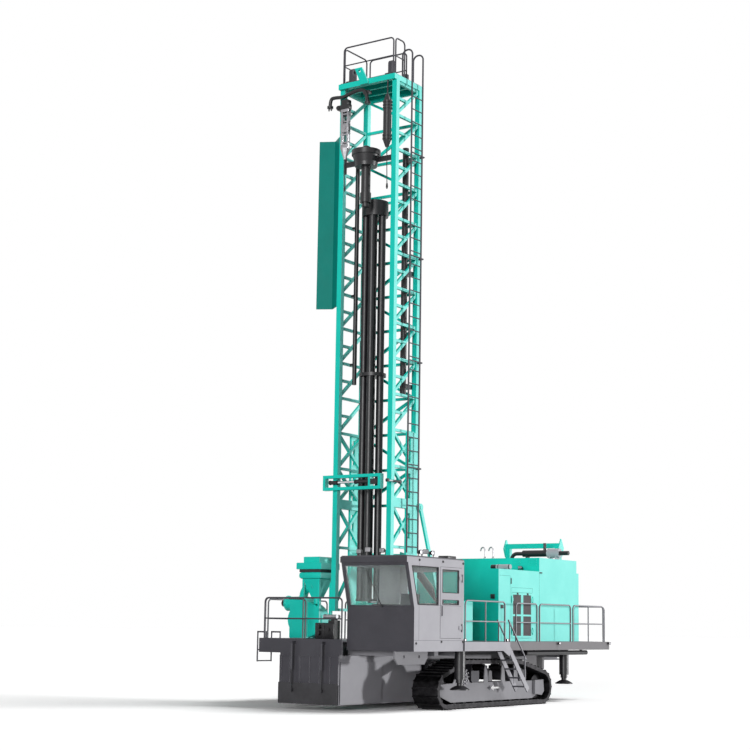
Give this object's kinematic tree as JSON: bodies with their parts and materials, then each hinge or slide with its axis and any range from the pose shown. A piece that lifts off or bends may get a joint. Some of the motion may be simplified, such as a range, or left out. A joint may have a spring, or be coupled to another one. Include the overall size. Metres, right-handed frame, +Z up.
{
  "type": "rotary drilling rig",
  "caption": "Tracked rotary blasthole drilling rig with a raised lattice mast, operator cab, machinery house, levelling jacks and dust hood.",
  "frame": {"origin": "on the ground, at the middle of the rig's length and width", "axes": "+X to the cab side, -Y to the drilling end, +Z up along the raised mast"},
  "size_m": [5.97, 11.836, 17.911],
  "materials": {
    "teal_paint": "satin",
    "dark_paint": "satin",
    "light_paint": "satin",
    "black_paint": "satin",
    "track_steel": "rough",
    "rod_chrome": "polished",
    "flap_rubber": "matte",
    "cab_glazing": "clear",
    "cab_trim": "matte"
  },
  "bodies": {
    "base": {"a_frame": "teal_paint", "air_cleaner": "light_paint", "axles": "dark_paint", "cab_floor": "dark_paint", "cab_front": "dark_paint", "cab_glass": "cab_glazing", "cab_interior": "cab_trim", "cab_left": "dark_paint", "cab_rear": "dark_paint", "cab_right": "light_paint", "cab_roof": "light_paint", "deck_cabinet": "teal_paint", "deck_front": "dark_paint", "deck_rear": "dark_paint", "dust_collector": "teal_paint", "dust_hood": "dark_paint", "engine": "track_steel", "exhaust_pipe": "black_paint", "front_platform": "dark_paint", "handrails": "dark_paint", "house_front": "teal_paint", "house_rear": "teal_paint", "jack_tubes": "dark_paint", "lift_cylinders": "dark_paint", "main_frame": "dark_paint", "mast_feet": "dark_paint", "mast_rest": "teal_paint", "muffler": "light_paint", "rear_tank": "dark_paint", "rollers": "track_steel", "track_frames": "light_paint", "track_left": "track_steel", "track_right": "track_steel"},
    "mast": {"mast_left": "teal_paint", "mast_right": "teal_paint", "mast_frame": "teal_paint", "mast_crown": "teal_paint", "crown_deck": "dark_paint", "mast_ladder": "dark_paint", "hose_trough": "teal_paint", "feed_cylinder": "black_paint", "pipe_arm": "teal_paint", "hoist_cylinder": "black_paint"},
    "rotary_head": {"rotary_head": "black_paint"},
    "spindle": {"spindle": "black_paint"},
    "carousel": {"carousel": "black_paint"},
    "raise_barrels": {"raise_barrels": "black_paint"},
    "raise_rods": {"raise_rods": "rod_chrome"},
    "jack_front_right": {"jack_front_right": "black_paint"},
    "jack_front_left": {"jack_front_left": "black_paint"},
    "jack_rear_right": {"jack_rear_right": "black_paint"},
    "jack_rear_left": {"jack_rear_left": "black_paint"},
    "hood_flap": {"hood_flap": "flap_rubber"},
    "cab_door": {"cab_door": "light_paint", "door_glass": "cab_glazing"},
    "grille_door_front": {"grille_door_front": "teal_paint"},
    "grille_door_rear": {"grille_door_rear": "teal_paint"},
    "stairs": {"stairs": "dark_paint"}
  },
  "joints": [
    {"name": "mast_raise", "type": "hinge", "parent": "base", "child": "mast", "pos_m": [0, -2.29, 5.19], "axis": [-1, 0, 0], "range_deg": [0, 94]},
    {"name": "raise_barrel_tilt", "type": "hinge", "parent": "base", "child": "raise_barrels", "pos_m": [0, 0.5, 1.96], "axis": [-1, 0, 0], "range_deg": [0, 3.97]},
    {"name": "raise_rod_extend", "type": "slide", "parent": "raise_barrels", "child": "raise_rods", "axis": [0, -0.8191, 0.5737], "range_m": [0, 1.86439]},
    {"name": "head_feed", "type": "slide", "parent": "mast", "child": "rotary_head", "axis": [0, 0, 1], "range_m": [-7.2, 0.9]},
    {"name": "spindle_spin", "type": "hinge", "parent": "rotary_head", "child": "spindle", "pos_m": [0, -3.668, 14.2], "axis": [0, 0, 1], "continuous": true},
    {"name": "carousel_index", "type": "hinge", "parent": "mast", "child": "carousel", "pos_m": [-0.2, -2.905, 9], "axis": [0, 0, 1], "continuous": true},
    {"name": "jack_front_right_extend", "type": "slide", "parent": "base", "child": "jack_front_right", "axis": [0, 0, -1], "range_m": [0, 0.7]},
    {"name": "jack_front_left_extend", "type": "slide", "parent": "base", "child": "jack_front_left", "axis": [0, 0, -1], "range_m": [0, 0.7]},
    {"name": "jack_rear_right_extend", "type": "slide", "parent": "base", "child": "jack_rear_right", "axis": [0, 0, -1], "range_m": [0, 0.7]},
    {"name": "jack_rear_left_extend", "type": "slide", "parent": "base", "child": "jack_rear_left", "axis": [0, 0, -1], "range_m": [0, 0.7]},
    {"name": "hood_flap_lift", "type": "slide", "parent": "base", "child": "hood_flap", "axis": [0, 0, 1], "range_m": [0, 0.44]},
    {"name": "cab_door_swing", "type": "hinge", "parent": "base", "child": "cab_door", "pos_m": [2.967, -3.374, 2.65], "axis": [0, 0, 1], "range_deg": [0, 100]},
    {"name": "grille_door_front_swing", "type": "hinge", "parent": "base", "child": "grille_door_front", "pos_m": [1.617, 1.524, 2.42], "axis": [0, 0, -1], "range_deg": [0, 105]},
    {"name": "grille_door_rear_swing", "type": "hinge", "parent": "base", "child": "grille_door_rear", "pos_m": [1.617, 2.736, 2.42], "axis": [0, 0, 1], "range_deg": [0, 105]},
    {"name": "stairs_fold", "type": "hinge", "parent": "base", "child": "stairs", "pos_m": [2.72, -0.945, 1.59], "axis": [1, 0, 0], "range_deg": [0, 50]}
  ],
  "couplings": [
    {"joint": "raise_barrel_tilt", "follows": "mast_raise", "ratio": 0.042267},
    {"joint": "raise_rod_extend", "follows": "mast_raise", "m_per_rad": 1.1364}
  ]
}
